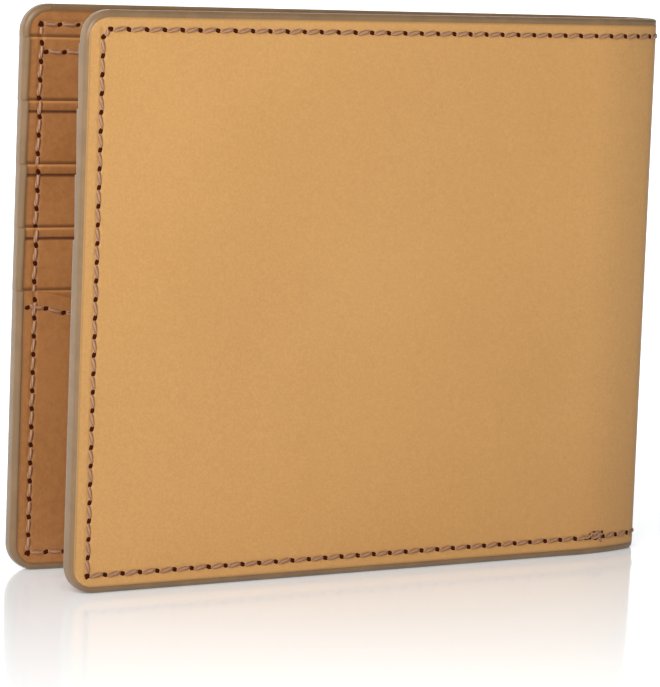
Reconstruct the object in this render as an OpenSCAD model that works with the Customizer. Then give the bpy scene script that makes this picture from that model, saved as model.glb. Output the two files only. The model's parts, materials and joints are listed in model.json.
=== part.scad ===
// Bifold wallet standing on its long edge, slightly open.
// X runs along the length: free edges at -X, fold at +X. Y is the thickness:
// front panel at -Y. Z is up. Sizes are millimetres.

/* [Overall] */
// length of the closed wallet, free edge to fold
length = 112; // [95:1:135]
// height of the wallet
height = 90; // [78:1:115]
// angle between the two panels in the rest pose, degrees
opening = 6; // [2:0.5:20]
// radius of the outer corners at the free edges
corner = 5; // [3:0.5:10]

/* [Layers] */
// thickness of the outer leather
cover_thick = 1.2; // [1:0.1:1.8]
// thickness of the stiffener board set into the outer leather
board_thick = 0.4; // [0.3:0.1:0.6]
// thickness of the lining cloth glued inside the outer leather
lining_thick = 0.2; // [0.2:0.05:0.4]
// clear slot of the banknote compartment
note_gap = 0.3; // [0.2:0.05:0.5]
// thickness of the divider behind the card pockets
divider_thick = 0.4; // [0.3:0.05:0.7]
// depth of the stack of card pockets on the divider
pocket_stack = 1.05; // [0.9:0.05:2]
// leather thickness of a card pocket
pocket_thick = 0.5; // [0.4:0.05:0.8]
// depth of the painted bead seen from the face
paint = 1; // [0.6:0.1:1.6]

/* [Fold] */
// radius of the gentle bend where the panel begins to turn
bend_radius = 40; // [25:1:80]
// angle turned by the gentle bend, degrees
bend_angle = 18; // [8:1:30]
// outer radius of the tight bend at the middle of the fold
fold_radius = 5; // [4.5:0.25:12]
// clear line between the fold and each panel
joint_gap = 0.1; // [0.05:0.05:0.3]

/* [Card pockets] */
// distance of the highest slot edge below the top
slot_drop = 5.2; // [4.6:0.1:8]
// distance from one slot edge to the next
slot_pitch = 10; // [8:0.25:13]
// how far a pocket reaches down behind the next one
tail = 4; // [2:0.5:6]
// slope of the large pocket's edge, degrees
slant = 13.5; // [5:0.5:20]
// level run of the slanted edge beside the side seam
slant_level = 3; // [1:0.5:8]
// distance from the pockets to the start of the fold
pocket_clear = 2; // [1:0.5:6]

/* [Stitching] */
// distance of the seam from the outer edge
seam_inset = 2.9; // [2:0.1:4]
// width of the thread line
thread_width = 0.8; // [0.5:0.1:1]
// depth of the thread line below the surface
thread_depth = 0.3; // [0.2:0.05:0.45]
// distance of the pocket seams below their slot edges
slot_seam = 2.3; // [1.5:0.1:4]

/* [Hidden] */
$fn = 72;

// distances of the layers from the outer face, and of the pockets' own face
lining_in = cover_thick + lining_thick;
divider_out = lining_in + note_gap;
divider_in = divider_out + divider_thick;
panel_thick = divider_in + pocket_stack;
first_slot = height - slot_drop;

// half of the opening and the end of the gentle bend, as headings
lean = opening / 2;
turn = lean + bend_angle;
// centres of the tight and the gentle bend
tight_x = length / 2 - fold_radius;
bend_x = tight_x - (bend_radius - fold_radius) * sin(turn);
bend_y = (bend_radius - fold_radius) * cos(turn);
// where the front panel meets the fold
start_x = bend_x + bend_radius * sin(lean);
start_y = bend_y - bend_radius * cos(lean);
// panel length from there to the free edge
panel = paint + (start_x + length / 2 - paint - (panel_thick - paint) * sin(lean)) / cos(lean);
// the band lies lower than the pockets, and its seam lies below its own edge
band_in = panel_thick - 0.4;
top_seam = height - 3.2;
// each slot edge stands proud of the pocket above it
step = pocket_thick + 0.05;
rim = 4;
top_in = height - paint;
groove_play = 0.03;
// turn of the bend at which the knot of the bottom seam sits
knot_turn = 0.36 * bend_angle;

module at_front() translate([start_x, start_y, 0]) rotate([0, 0, lean]) children();
module at_rear() mirror([0, 1, 0]) at_front() children();

// panel outline in x and z, inset by e, with both free corners rounded
module outline(e) {
  rc = max(corner - e, 0.8);
  union() {
    translate([-panel + e + rc, e]) square([panel - e - rc - joint_gap, height - 2 * e]);
    translate([-panel + e, e + rc]) square([2 * rc, height - 2 * e - 2 * rc]);
    translate([-panel + e + rc, e + rc]) circle(rc);
    translate([-panel + e + rc, height - e - rc]) circle(rc);
  }
}
// flat layer of a panel between two distances from the outer face
module layer(v1, v2) translate([0, v2, 0]) rotate([90, 0, 0]) linear_extrude(v2 - v1) children();
// run along x of a profile drawn in v and z
module run(x1, x2) translate([x1, 0, 0]) rotate([90, 0, 90]) linear_extrude(x2 - x1) children();
// sweep around the fold of a profile drawn in v and z
module around() {
  half = 90 - turn;
  translate([tight_x, 0, 0]) rotate([0, 0, -half]) rotate_extrude(angle = 2 * half)
    translate([fold_radius, 0]) mirror([1, 0]) children();
  for (s = [0, 1]) mirror([0, s, 0]) translate([bend_x, bend_y, 0]) rotate([0, 0, lean - 90])
    rotate_extrude(angle = bend_angle + 0.02) translate([bend_radius, 0]) mirror([1, 0]) children();
}
// plan of one fold layer between two distances from the outer face, in short flats
flats = 24;
function arc(cx, cy, r, a1, a2, n) = [for (i = [0:n]) [cx + r * cos(a1 + (a2 - a1) * i / n), cy + r * sin(a1 + (a2 - a1) * i / n)]];
function without_last(p) = [for (i = [0:len(p) - 2]) p[i]];
function arc_line(v) = let (f = without_last(arc(bend_x, bend_y, bend_radius - v, lean - 90, turn - 90, flats / 4)), n = len(f))
  concat(f, arc(tight_x, 0, fold_radius - v, turn - 90, 90 - turn, flats), [for (i = [n - 1:-1:0]) [f[i][0], -f[i][1]]]);
module plan(v1, v2) {
  o = arc_line(v1);
  i = arc_line(v2);
  n = len(i);
  polygon(concat(o, [for (k = [n - 1:-1:0]) i[k]]));
}
// upright layer of the fold
module fold_layer(v1, v2, z1, z2) translate([0, 0, z1]) linear_extrude(z2 - z1) plan(v1, v2);
module strip(v1, v2, z1, z2) translate([v1, z1]) square([v2 - v1, z2 - z1]);

// painted bead: v across the edge, w inward from the outermost line
module bead(v1, v2, r) {
  intersection() {
    translate([v1, 0]) square([v2 - v1, paint]);
    union() {
      translate([v1, r]) square([v2 - v1, paint]);
      translate([v1 + r, 0]) square([v2 - v1 - 2 * r, paint]);
      translate([v1 + r, r]) circle(r);
      translate([v2 - r, r]) circle(r);
    }
  }
}
// the same bead with flat bevels, for the sweep around the fold
module bead_flat(v1, v2, c) polygon([[v1 + c, 0], [v2 - c, 0], [v2, c], [v2, paint], [v1, paint], [v1, c]]);
round_full = 0.9 * paint;
round_cover = 0.4 * lining_in;
round_band = 0.4 * (band_in - divider_out);
round_divider = 0.4 * divider_thick;

module bead_side() translate([-panel, 0]) mirror([1, -1]) bead(0, panel_thick, round_full);
module bead_turn() translate([corner, 0]) mirror([1, 0]) mirror([1, -1]) bead(0, panel_thick, round_full);

// thread line along both long edges and the free side
module seam_line(e, w) difference() {
  outline(e - w / 2);
  outline(e + w / 2);
}

module cover() {
  difference() {
    layer(0, cover_thick) outline(paint);
    translate([0, -0.01, 0]) layer(0, thread_depth + groove_play) seam_line(seam_inset, thread_width + 2 * groove_play);
    translate([0, 0.01, 0]) layer(cover_thick - board_thick, cover_thick) difference() {
      outline(corner + 1 - 0.01);
      translate([-3.01, 0]) square([4, height]);
    }
  }
}
module board() layer(cover_thick - board_thick + 0.01, cover_thick) difference() {
  outline(corner + 1);
  translate([-3.02, 0]) square([4, height]);
}
module lining() layer(cover_thick, lining_in) outline(paint);
module divider() union() {
  layer(divider_out, divider_in) outline(paint);
  layer(lining_in, divider_out + 0.01) difference() {
    outline(paint);
    translate([-panel + paint + rim, paint + rim]) square([panel, height]);
  }
}
module edge_paint() union() {
  run(-panel + corner, -joint_gap) bead(0, panel_thick, round_full);
  translate([0, 0, corner]) linear_extrude(height - 2 * corner) bead_side();
  translate([-panel + corner, 0, corner]) rotate([-90, 0, 0]) rotate([0, 0, 90]) rotate_extrude(angle = 90) bead_turn();
  translate([-panel + corner, 0, height - corner]) rotate([-90, 0, 0]) rotate([0, 0, 180]) rotate_extrude(angle = 90) bead_turn();
}
module top_bead(v1, v2, r) translate([0, 0, height]) mirror([0, 0, 1]) run(-panel + corner, -joint_gap) bead(v1, v2, r);

// shingled leather strip whose slot edge is at height zt
module pocket_strip(zt) run(-panel + paint, -pocket_clear) polygon([
  [panel_thick - pocket_thick, zt], [panel_thick, zt],
  [panel_thick - step, zt - slot_pitch],
  [panel_thick - step - step * tail / slot_pitch, zt - slot_pitch - tail],
  [divider_in, zt - slot_pitch - tail],
  [divider_in, zt - slot_pitch * (panel_thick - pocket_thick - divider_in) / step]]);
module card_pocket(zt) difference() {
  pocket_strip(zt);
  inner_groove();
}
module inner_groove() translate([0, 0.02, 0]) layer(panel_thick - step - thread_depth, panel_thick + 0.5)
  seam_line(seam_inset, thread_width + 2 * groove_play);
module slot_line(zt, v1, v2, w) run(-panel + seam_inset + thread_width, -pocket_clear - 1)
  strip(v1, v2, zt - slot_seam - w / 2, zt - slot_seam + w / 2);
// the pocket face where a slot seam lies, a little below the slot edge
slot_face = panel_thick - step * slot_seam / slot_pitch - 0.03;
module stitched_pocket(zt) difference() {
  card_pocket(zt);
  slot_line(zt, slot_face - thread_depth - groove_play, panel_thick + 1, thread_width + 2 * groove_play);
}
module slot_thread(zt) slot_line(zt, slot_face - thread_depth, slot_face, thread_width);

// the band that carries the top seam of the inner panel
module top_band() difference() {
  run(-panel + corner, -pocket_clear) polygon([
    [divider_in, top_in], [band_in, top_in],
    [panel_thick - step, first_slot],
    [panel_thick - step - step * tail / slot_pitch, first_slot - tail],
    [divider_in, first_slot - tail]]);
  translate([0, 0.02, 0]) layer(band_in - 0.15 - thread_depth - groove_play, panel_thick)
    seam_line(height - top_seam, thread_width + 2 * groove_play);
  inner_groove();
}

// outline of the lower pocket in x and z; s is the slope of its edge
module lower_shape(zt, s, e) {
  drop = tan(s) * (panel - pocket_clear - slant_level - paint);
  intersection() {
    outline(e);
    polygon([[-panel, 0], [-panel, zt], [-panel + paint + slant_level, zt],
      [-pocket_clear, zt - drop], [-pocket_clear, 0]]);
  }
}
module lower_pocket(zt, s) difference() {
  union() {
    layer(panel_thick - pocket_thick, panel_thick) lower_shape(zt, s, paint);
    layer(divider_in, panel_thick - pocket_thick + 0.01) difference() {
      lower_shape(zt - tail - 1, 0, paint);
      translate([-panel + paint + rim, paint + rim]) square([panel - paint - 2 * rim - pocket_clear, height]);
    }
  }
  translate([0, 0.01, 0]) layer(panel_thick - thread_depth - groove_play, panel_thick)
    seam_line(seam_inset, thread_width + 2 * groove_play);
  if (s > 0) translate([0, 0.01, 0]) layer(panel_thick - thread_depth - groove_play, panel_thick)
    slant_line(zt, s, thread_width + 2 * groove_play);
}
// thread line parallel to the slanted edge
module slant_line(zt, s, w) {
  z0 = zt - slot_seam - 0.3;
  x0 = -panel + seam_inset + thread_width;
  x1 = -pocket_clear - 1;
  d = tan(s) * (x1 - x0);
  polygon([[x0, z0 + w / 2], [x1, z0 - d + w / 2], [x1, z0 - d - w / 2], [x0, z0 - w / 2]]);
}
module slant_thread(zt, s) layer(panel_thick - thread_depth, panel_thick) slant_line(zt, s, thread_width);
module outer_thread() layer(0, thread_depth) seam_line(seam_inset, thread_width);
// inner seam: side and bottom at the pocket face, with the top line on the band
module inner_thread(zb) union() {
  layer(panel_thick - thread_depth, panel_thick) intersection() {
    seam_line(seam_inset, thread_width);
    translate([-panel, 0]) square([panel, zb]);
  }
  layer(panel_thick - step, panel_thick) intersection() {
    seam_line(seam_inset, thread_width);
    translate([-panel, zb - 0.01]) square([panel / 2, top_seam - zb + 0.4]);
    translate([-panel, 0]) square([seam_inset + thread_width, height]);
  }
}

leather = [0.80, 0.58, 0.37];
inner_leather = [0.62, 0.43, 0.26];
edge = [0.47, 0.37, 0.29];
thread = [0.45, 0.27, 0.17];
cloth = [0.42, 0.31, 0.22];
card = [0.70, 0.62, 0.50];

pocket_floor = first_slot - 4 * slot_pitch;

module front_cover() color(leather) at_front() cover();
module front_board() color(card) at_front() board();
module front_lining() color(cloth) at_front() lining();
module front_divider() color(inner_leather) at_front() divider();
module front_edge_paint() color(edge) at_front() edge_paint();
module front_cover_top_paint() color(edge) at_front() top_bead(0, lining_in, round_cover);
module front_divider_top_paint() color(edge) at_front() top_bead(divider_out, band_in, round_band);
module front_top_band() color(inner_leather) at_front() top_band();
module front_card_pocket_1() color(inner_leather) at_front() stitched_pocket(first_slot);
module front_card_pocket_2() color(inner_leather) at_front() card_pocket(first_slot - slot_pitch);
module front_card_pocket_3() color(inner_leather) at_front() card_pocket(first_slot - 2 * slot_pitch);
module front_lower_pocket() color(inner_leather) at_front() lower_pocket(first_slot - 3 * slot_pitch, 0);
module front_outer_thread() color(thread) at_front() outer_thread();
module front_inner_thread() color(thread) at_front() inner_thread(first_slot - 3 * slot_pitch);
module front_slot_thread() color(thread) at_front() slot_thread(first_slot);
module knot_place(g) translate([bend_x, bend_y, seam_inset + 1.1]) rotate([0, 0, lean + knot_turn - 90])
  translate([bend_radius - thread_depth - g, 0, 0]) rotate([0, 90, 0]) cylinder(r = 0.55 + g, h = 1);

module rear_cover() color(leather) at_rear() cover();
module rear_board() color(card) at_rear() board();
module rear_lining() color(cloth) at_rear() lining();
module rear_divider() color(inner_leather) at_rear() divider();
module rear_edge_paint() color(edge) at_rear() edge_paint();
module rear_cover_top_paint() color(edge) at_rear() top_bead(0, lining_in, round_cover);
module rear_divider_top_paint() color(edge) at_rear() top_bead(divider_out, band_in, round_band);
module rear_top_band() color(inner_leather) at_rear() top_band();
module rear_card_pocket_1() color(inner_leather) at_rear() stitched_pocket(first_slot);
module rear_card_pocket_2() color(inner_leather) at_rear() card_pocket(first_slot - slot_pitch);
module rear_card_pocket_3() color(inner_leather) at_rear() card_pocket(first_slot - 2 * slot_pitch);
module rear_card_pocket_4() color(inner_leather) at_rear() card_pocket(first_slot - 3 * slot_pitch);
module rear_slant_pocket() color(inner_leather) at_rear() lower_pocket(pocket_floor, slant);
module rear_outer_thread() color(thread) at_rear() outer_thread();
module rear_inner_thread() color(thread) at_rear() inner_thread(pocket_floor);
module rear_slot_thread() color(thread) at_rear() slot_thread(first_slot);
module rear_slant_thread() color(thread) at_rear() slant_thread(pocket_floor, slant);

module spine_groove(z) fold_layer(-0.01, thread_depth + groove_play, z - thread_width / 2 - groove_play, z + thread_width / 2 + groove_play);
module spine_cover() color(leather) difference() {
  fold_layer(0, cover_thick, paint, top_in);
  spine_groove(seam_inset);
  spine_groove(height - seam_inset);
  knot_place(0.03);
}
module spine_lining() color(cloth) fold_layer(cover_thick, lining_in, paint, top_in);
module spine_divider() color(inner_leather) union() {
  fold_layer(divider_out, divider_in, paint, top_in);
  fold_layer(lining_in, divider_in, paint, paint + rim);
}
module spine_bottom_paint() color(edge) around() bead_flat(0, divider_in, round_cover);
module spine_cover_top_paint() color(edge) translate([0, 0, height]) mirror([0, 0, 1]) around() bead_flat(0, lining_in, round_cover);
module spine_divider_top_paint() color(edge) translate([0, 0, height]) mirror([0, 0, 1]) around() bead_flat(divider_out, divider_in, round_divider);
module spine_top_thread() color(thread) fold_layer(0, thread_depth, height - seam_inset - thread_width / 2, height - seam_inset + thread_width / 2);
module spine_bottom_thread() color(thread) fold_layer(0, thread_depth, seam_inset - thread_width / 2, seam_inset + thread_width / 2);
module spine_thread_knot() color(thread) intersection() {
  fold_layer(0, cover_thick, paint, top_in);
  knot_place(0);
}

front_cover();
front_board();
front_lining();
front_divider();
front_edge_paint();
front_cover_top_paint();
front_divider_top_paint();
front_top_band();
front_card_pocket_1();
front_card_pocket_2();
front_card_pocket_3();
front_lower_pocket();
front_outer_thread();
front_inner_thread();
front_slot_thread();
rear_cover();
rear_board();
rear_lining();
rear_divider();
rear_edge_paint();
rear_cover_top_paint();
rear_divider_top_paint();
rear_top_band();
rear_card_pocket_1();
rear_card_pocket_2();
rear_card_pocket_3();
rear_card_pocket_4();
rear_slant_pocket();
rear_outer_thread();
rear_inner_thread();
rear_slot_thread();
rear_slant_thread();
spine_cover();
spine_lining();
spine_divider();
spine_bottom_paint();
spine_cover_top_paint();
spine_divider_top_paint();
spine_top_thread();
spine_bottom_thread();
spine_thread_knot();
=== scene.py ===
import json
import math
from random import Random

import bmesh
import bpy
from bpy.props import FloatProperty, FloatVectorProperty, IntProperty, PointerProperty
from mathutils import Matrix, Vector, noise


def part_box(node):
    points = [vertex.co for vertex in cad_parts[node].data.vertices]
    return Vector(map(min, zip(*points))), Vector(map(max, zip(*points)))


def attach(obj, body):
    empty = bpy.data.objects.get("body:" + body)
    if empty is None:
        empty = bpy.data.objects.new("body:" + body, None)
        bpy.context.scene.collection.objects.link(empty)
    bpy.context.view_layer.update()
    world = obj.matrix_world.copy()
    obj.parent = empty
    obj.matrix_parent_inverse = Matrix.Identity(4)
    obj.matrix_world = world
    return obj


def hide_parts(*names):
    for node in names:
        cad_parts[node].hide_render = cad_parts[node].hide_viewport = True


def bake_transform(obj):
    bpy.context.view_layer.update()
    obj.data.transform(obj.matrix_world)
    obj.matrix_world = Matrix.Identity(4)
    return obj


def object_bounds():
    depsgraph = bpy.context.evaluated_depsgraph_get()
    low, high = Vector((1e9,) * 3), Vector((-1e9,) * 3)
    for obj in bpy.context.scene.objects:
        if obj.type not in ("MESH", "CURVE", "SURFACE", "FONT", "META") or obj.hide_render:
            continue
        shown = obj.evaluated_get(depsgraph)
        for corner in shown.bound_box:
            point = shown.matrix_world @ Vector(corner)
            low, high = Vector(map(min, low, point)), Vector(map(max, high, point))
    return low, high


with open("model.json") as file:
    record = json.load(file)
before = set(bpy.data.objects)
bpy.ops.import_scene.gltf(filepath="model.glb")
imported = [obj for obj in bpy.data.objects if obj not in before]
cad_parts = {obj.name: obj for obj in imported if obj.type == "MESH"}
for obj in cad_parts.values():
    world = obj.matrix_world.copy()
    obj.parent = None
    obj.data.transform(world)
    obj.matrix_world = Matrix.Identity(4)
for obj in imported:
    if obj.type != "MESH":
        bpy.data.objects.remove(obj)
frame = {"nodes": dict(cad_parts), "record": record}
CAD_BOX = [list(corner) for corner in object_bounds()]

bl_info = {
    "name": "Bifold wallet",
    "version": (1, 0, 0),
    "blender": (4, 5, 0),
    "location": "3D View > Sidebar > Wallet",
    "description": "Leather, edge paint, stitching and stage of a bifold wallet around its fixed frame",
    "category": "Object",
}

MM = 0.001
MAP = 10  # units of the leather map in a metre
FRONT, REAR = 1, -1
BODY = {FRONT: "front_panel", REAR: "rear_panel"}
WORD = {FRONT: "front", REAR: "rear"}
POCKETS = {FRONT: 3, REAR: 4}


def rgb(text):
    """Linear colour of an sRGB hex value."""
    parts = [int(text[i:i + 2], 16) / 255 for i in (0, 2, 4)]
    return [c / 12.92 if c <= 0.04045 else ((c + 0.055) / 1.055) ** 2.4 for c in parts]


def shade(colour, by=1.0):
    """A colour with its alpha, made lighter or darker."""
    return (*[min(1.0, c * by) for c in colour], 1.0)


# ---------------------------------------------------------------- sizes that follow the frame
LEAN = math.asin(frame["record"]["mounts"][0]["axis"][0])
HEIGHT = CAD_BOX[1][2]
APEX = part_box("spine_cover")[1].x
BEND_RADIUS, BEND_ANGLE, TIGHT_RADIUS = 40 * MM, math.radians(18), 5 * MM
TURN = LEAN + BEND_ANGLE
TIGHT = (APEX - TIGHT_RADIUS, 0.0)
BEND = (TIGHT[0] - (BEND_RADIUS - TIGHT_RADIUS) * math.sin(TURN), (BEND_RADIUS - TIGHT_RADIUS) * math.cos(TURN))
START = (BEND[0] + BEND_RADIUS * math.sin(LEAN), BEND[1] - BEND_RADIUS * math.cos(LEAN))
GENTLE = BEND_RADIUS * BEND_ANGLE
HALF_FOLD = GENTLE + TIGHT_RADIUS * (math.pi / 2 - TURN)

# how far in from the outer face each layer ends
COVER, LINING, DIVIDER_OUT, DIVIDER_IN, BAND, THICK = 1.2 * MM, 1.4 * MM, 1.7 * MM, 2.1 * MM, 2.75 * MM, 3.15 * MM
LEATHER, STEP, TAIL = 0.5 * MM, 0.55 * MM, 4 * MM
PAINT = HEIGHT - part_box("front_cover")[1].z
CORNER, SIDE = 4.4 * MM, 0.5 * MM
PANEL = PAINT + (START[0] + APEX - PAINT - (THICK - PAINT) * math.sin(LEAN)) / math.cos(LEAN)
SLOT_1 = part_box("rear_card_pocket_1")[1].z
PITCH = SLOT_1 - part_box("rear_card_pocket_2")[1].z
POCKET_END = -2 * MM
SEAM, BAND_SEAM, SLOT_SEAM, SLANT_SEAM = 2.9 * MM, 3.2 * MM, 2.3 * MM, 2.6 * MM
SLANT, SLANT_LEVEL = math.radians(13.5), 3 * MM
CLEAR = 0.02 * MM  # between a pocket's back and the divider
GROOVE = 0.12 * MM  # where the paint meets the leather
SIDE_CUTS, LONG_CUTS = 1.6 * MM, 1.5 * MM  # between cuts across the painted edge
WAVER = 280  # waves of the painted line in a metre


class WalletSizes(bpy.types.PropertyGroup):
    """Sizes of the visible make"""

    edge_round: FloatProperty(name="Leather edge", description="Rounding of the cut leather beside the paint",
                              default=0.16 * MM, unit="LENGTH")
    paint_round: FloatProperty(name="Paint rounding", description="Rounding of the painted edge",
                               default=0.95 * MM, unit="LENGTH")
    paint_wobble: FloatProperty(name="Paint wobble", description="How far the painted line wanders",
                                default=0.1 * MM, unit="LENGTH")
    slot_round: FloatProperty(name="Slot edge", description="Rounding of the pockets' slot edges",
                              default=0.17 * MM, unit="LENGTH")
    crease_depth: FloatProperty(name="Crease depth",
                                description="Depth of the hot creased line below a slot edge",
                                default=0.26 * MM, unit="LENGTH")
    crease_drop: FloatProperty(name="Crease drop", description="From a slot edge down to its creased line",
                               default=1.7 * MM, unit="LENGTH")
    long_stitch: FloatProperty(name="Long edge stitch", description="Stitch length along the long edges",
                               default=3.15 * MM, unit="LENGTH")
    side_stitch: FloatProperty(name="Side stitch", description="Stitch length along the free sides",
                               default=2.9 * MM, unit="LENGTH")
    thread: FloatProperty(name="Thread", description="Thickness of the waxed thread", default=0.82 * MM,
                          unit="LENGTH")
    hole: FloatProperty(name="Awl slit", description="Length of an awl slit", default=1.15 * MM, unit="LENGTH")
    bend_cuts: IntProperty(name="Bend cuts", description="Cuts across each half of the fold", default=36,
                           min=12)


class WalletColours(bpy.types.PropertyGroup):
    """Colours of the finishes"""

    outer: FloatVectorProperty(name="Outer leather", description="Natural vegetable-tanned calf",
                               subtype="COLOR", default=rgb("D09B5B"))
    outer_deep: FloatVectorProperty(name="Outer leather, deep",
                                    description="Darker clouds in the outer leather", subtype="COLOR",
                                    default=rgb("CB9657"))
    inner: FloatVectorProperty(name="Inner leather", description="Leather of the card pockets", subtype="COLOR",
                               default=rgb("AE7642"))
    inner_deep: FloatVectorProperty(name="Inner leather, deep",
                                    description="Darker clouds in the pocket leather", subtype="COLOR",
                                    default=rgb("9A6231"))
    crease: FloatVectorProperty(name="Creased line", description="Leather browned by the hot creaser",
                                subtype="COLOR", default=rgb("5A2E14"))
    paint: FloatVectorProperty(name="Edge paint", description="Taupe edge paint", subtype="COLOR",
                               default=rgb("856848"))
    thread: FloatVectorProperty(name="Thread", description="Brown waxed thread", subtype="COLOR",
                                default=rgb("AC7D5B"))
    # painted shade: the awl slits are flat dark lenses laid on the leather
    hole: FloatVectorProperty(name="Awl slit", description="Shade inside the awl slits", subtype="COLOR",
                              default=rgb("3A1204"))
    lining: FloatVectorProperty(name="Lining", description="Twill lining of the note compartment",
                                subtype="COLOR", default=rgb("6B4A30"))


CAMERA_AT = (-0.30515, -0.51966, 0.10806)
# yaw to the right of straight ahead, pitch down and roll, in degrees
CAMERA_TURN = (30.07, 6.82, -2.16)
LAMP_AT, LAMP_SIZE = (-0.37, -0.31, 0.34), 0.4
TABLE_HALF = 7.0


class WalletStage(bpy.types.PropertyGroup):
    """Camera and light"""

    lens: FloatProperty(name="Lens", description="Focal length on a 36 mm sensor, millimetres", default=195.0)
    key: FloatProperty(name="Key light", description="Power of the large light at the front left, watts",
                       default=2.8)
    surround: FloatProperty(name="Surround", description="Strength of the white room", default=0.34)
    screen: FloatProperty(name="Screen", description="Strength of the white screen behind the wallet",
                          default=1.5)


# ---------------------------------------------------------------- the fold
def place(s, v, z, side=FRONT):
    """A point s past the start of the bend along the outer face, v inward from it and z up."""
    if s <= 0:
        x = START[0] + s * math.cos(LEAN) - v * math.sin(LEAN)
        y = START[1] + s * math.sin(LEAN) + v * math.cos(LEAN)
    else:
        if s < GENTLE:
            heading, centre, radius = LEAN + s / BEND_RADIUS, BEND, BEND_RADIUS
        else:
            heading, centre, radius = TURN + (s - GENTLE) / TIGHT_RADIUS, TIGHT, TIGHT_RADIUS
        x = centre[0] + (radius - v) * math.sin(heading)
        y = centre[1] - (radius - v) * math.cos(heading)
    return Vector((x, y * side, z))


def stations():
    """Cuts across the fold, closer where it bends tightly."""
    count = bpy.context.scene.wallet_sizes.bend_cuts
    slow = count // 3
    fast = count - slow
    gentle = [GENTLE * i / slow for i in range(slow)]
    return gentle + [GENTLE + (HALF_FOLD - GENTLE) * i / fast for i in range(fast)]


def pocket_face(z, pockets):
    """How far in the pockets' face lies at a height; each slot edge stands proud of the one above."""
    if z > SLOT_1:
        return BAND - (BAND - THICK + STEP) * min(1, (HEIGHT - PAINT - z) / (HEIGHT - PAINT - SLOT_1))
    if z <= SLOT_1 - pockets * PITCH:
        return THICK
    return THICK - STEP * (((SLOT_1 - z) % PITCH) / PITCH)


# ---------------------------------------------------------------- making pieces
def outline(corners, v):
    """One flat face facing outward, from its corners (s, z)."""
    bm = bmesh.new()
    face = bm.faces.new([bm.verts.new((s, v, z)) for s, z in corners])
    face.normal_update()
    if face.normal.y > 0:
        bmesh.ops.reverse_faces(bm, faces=[face])
    return bm


def round_corners(bm, where, radius, segments=10):
    """Rounds the outline's corners that where(co) picks."""
    picked = [v for v in bm.verts if where(v.co)]
    bmesh.ops.bevel(bm, geom=picked, offset=radius, offset_type="OFFSET", segments=segments, profile=0.5,
                    affect="VERTICES", material=-1, clamp_overlap=True)


def cut(bm, axis, values, clear_outer=False):
    """Cuts the whole mesh square across an axis at each value."""
    normal = Vector([1.0 if i == axis else 0.0 for i in range(3)])
    for value in values:
        bmesh.ops.bisect_plane(bm, geom=bm.verts[:] + bm.edges[:] + bm.faces[:], dist=1e-7,
                               plane_co=normal * value, plane_no=normal, clear_outer=clear_outer)


def border(bm, width):
    """Insets the whole sheet, so that its border carries its own row of faces."""
    return bmesh.ops.inset_region(bm, faces=bm.faces[:], thickness=width, depth=0.0, use_even_offset=True,
                                  use_boundary=True)["faces"]


def inward(co):
    """How far in from the panel's outline a flat point lies, and which way is in."""
    if co.x < -PANEL + CORNER and not CORNER < co.z < HEIGHT - CORNER:
        centre = Vector((-PANEL + CORNER, co.y, CORNER if co.z < HEIGHT / 2 else HEIGHT - CORNER))
        return CORNER - (co - centre).length, (centre - co).normalized()
    return min((co.x + PANEL, Vector((1, 0, 0))), (co.z, Vector((0, 0, 1))),
               (HEIGHT - co.z, Vector((0, 0, -1))), key=lambda pair: pair[0])


def thicken(bm, by):
    """Extrudes every face by a vector into a closed solid."""
    made = bmesh.ops.extrude_face_region(bm, geom=bm.faces[:], use_keep_orig=True)["geom"]
    bmesh.ops.translate(bm, vec=by, verts=[g for g in made if isinstance(g, bmesh.types.BMVert)])
    bmesh.ops.recalc_face_normals(bm, faces=bm.faces)


def soften(bm, radius, segments, where, angle=60):
    """Rounds the sharp edges whose two ends where() accepts."""
    picked = [e for e in bm.edges if e.is_manifold and e.calc_face_angle(0) > math.radians(angle)
              and where(e.verts[0].co) and where(e.verts[1].co)]
    bmesh.ops.bevel(bm, geom=picked, offset=radius, offset_type="OFFSET", segments=segments, profile=0.5,
                    affect="EDGES", material=-1, clamp_overlap=True)


def bend_round(bm, side):
    """Maps a flat mesh from the free edge and the bottom, then takes it to its place."""
    layer = bm.loops.layers.uv.verify()
    for face in bm.faces:
        for loop in face.loops:
            loop[layer].uv = ((loop.vert.co.x + PANEL) * MAP, loop.vert.co.z * MAP)
    for vert in bm.verts:
        vert.co = place(*vert.co, side)
    if side == REAR:
        bmesh.ops.reverse_faces(bm, faces=bm.faces)


def finish(bm, name, finishes, side, replaces, crosses=False, sharp=50):
    """Makes the piece with its finishes, parents it to its body unless it crosses the fold, and hides what it
    replaces.
    """
    mesh = bpy.data.meshes.new(name)
    bm.normal_update()
    bm.to_mesh(mesh)
    bm.free()
    mesh.shade_smooth()
    mesh.set_sharp_from_angle(angle=math.radians(sharp))
    piece = bpy.data.objects.new(name, mesh)
    bpy.context.scene.collection.objects.link(piece)
    for key in finishes:
        mesh.materials.append(finish_of(key))
    if crosses:
        if side == FRONT:
            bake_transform(piece)
        else:
            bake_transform(piece)
    else:
        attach(piece, BODY[side])
    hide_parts(*replaces)
    return piece


def skin(name, side, v0, v1, finish_name, replaces, rounding):
    """A layer from the free edge to the middle of the fold, inside the painted edge."""
    free, low, high, end = -PANEL + SIDE, PAINT, HEIGHT - PAINT, HALF_FOLD - 0.01 * MM
    bm = outline([(free, low), (HALF_FOLD, low), (HALF_FOLD, high), (free, high)], v0)
    round_corners(bm, lambda co: co.x < 0, CORNER - PAINT)
    cut(bm, 0, stations())
    border(bm, 0.5 * MM)
    thicken(bm, (0, v1 - v0, 0))
    soften(bm, rounding, 3, lambda co: co.x < end)
    bend_round(bm, side)
    return finish(bm, name, [finish_name], side, replaces, True)


# ---------------------------------------------------------------- finishes
SMOOTH = {"interpolation_type": "SMOOTHSTEP"}  # eases a map range in and out


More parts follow.
